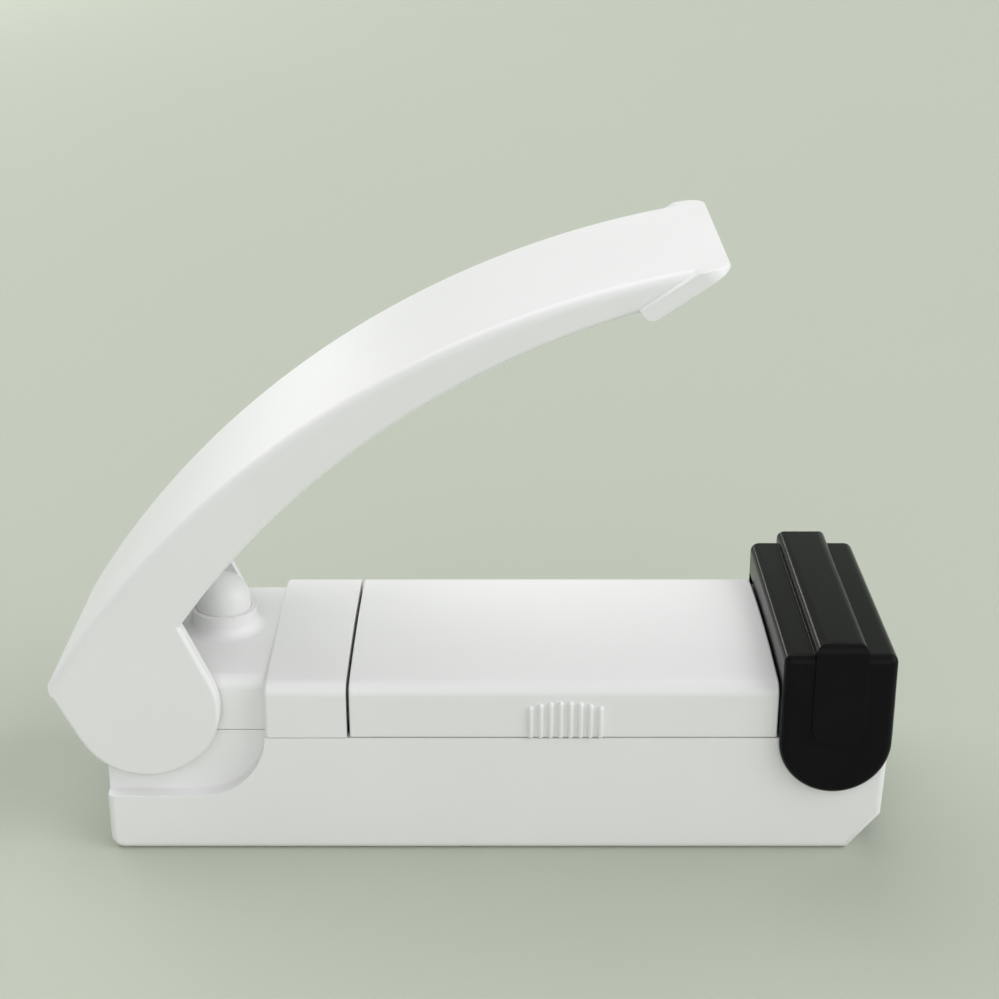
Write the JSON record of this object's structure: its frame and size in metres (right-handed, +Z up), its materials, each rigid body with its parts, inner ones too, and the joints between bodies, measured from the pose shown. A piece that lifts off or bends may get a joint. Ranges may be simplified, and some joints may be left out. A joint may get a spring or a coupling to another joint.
{
  "type": "handheld bag sealer",
  "caption": "Slim battery bag sealer with a curved spring-loaded pressing arm, a domed switch button, a lift-off battery cover and a flip-forward black cap over its heating head.",
  "frame": {"origin": "middle of the flat underside of the base, halfway along its length", "axes": "+X to the front with the heating head, +Y to the left, +Z up"},
  "size_m": [0.1087, 0.038, 0.0793],
  "materials": {
    "white_plastic": "satin white moulding",
    "black_gloss": "polished black moulding",
    "black_matte": "matt black moulding",
    "red_plastic": "plain red",
    "silicone": "soft grey silicone",
    "tape": "coated glass cloth",
    "steel": "plain",
    "brass": "plain",
    "cell": "plain coloured sleeve"
  },
  "bodies": {
    "base": {"base_shell": "white_plastic", "rear_casing": "white_plastic", "heater_block": "black_matte", "heater_strip": "steel", "heater_tape": "tape", "heater_terminals": "brass", "terminal_screws": "steel", "arm_return_spring": "steel", "button_spring": "steel", "switch_body": "black_matte", "switch_plunger": "red_plastic", "switch_blades": "brass", "battery_tray": "white_plastic", "cell_left": "cell", "cell_right": "cell", "negative_contact": "steel", "positive_contact": "steel", "bridge_contact": "steel", "contact_springs": "steel", "red_lead": "red_plastic", "link_lead": "red_plastic", "black_lead": "black_matte", "case_screws": "steel"},
    "arm": {"arm": "white_plastic", "jaw_pad": "silicone", "arm_hinge_pin": "steel"},
    "button": {"button": "white_plastic"},
    "cap": {"safety_cap": "black_gloss"},
    "cover": {"battery_cover": "white_plastic"}
  },
  "joints": [
    {"name": "arm_hinge", "type": "hinge", "parent": "base", "child": "arm", "pos_m": [-0.045, 0, 0.0205], "axis": [0, 1, 0], "range_deg": [0, 30.9], "stiffness_Nm_per_rad": 0.05, "springref_deg": -45.84, "deforming": ["arm_return_spring"]},
    {"name": "button_press", "type": "slide", "parent": "base", "child": "button", "axis": [0, 0, -1], "range_m": [0, 0.0015], "stiffness_N_per_m": 5, "springref_m": -0.001, "deforming": ["button_spring"]},
    {"name": "cap_flip", "type": "hinge", "parent": "base", "child": "cap", "pos_m": [0.04365, 0, 0.0169], "axis": [0, 1, 0], "range_deg": [0, 90]},
    {"name": "cover_lift", "type": "slide", "parent": "base", "child": "cover", "axis": [0, 0, 1], "range_m": [0, 0.006]}
  ],
  "couplings": [
    {"joint": "button_press", "follows": "arm_hinge", "m_per_rad": 0.0027813}
  ]
}
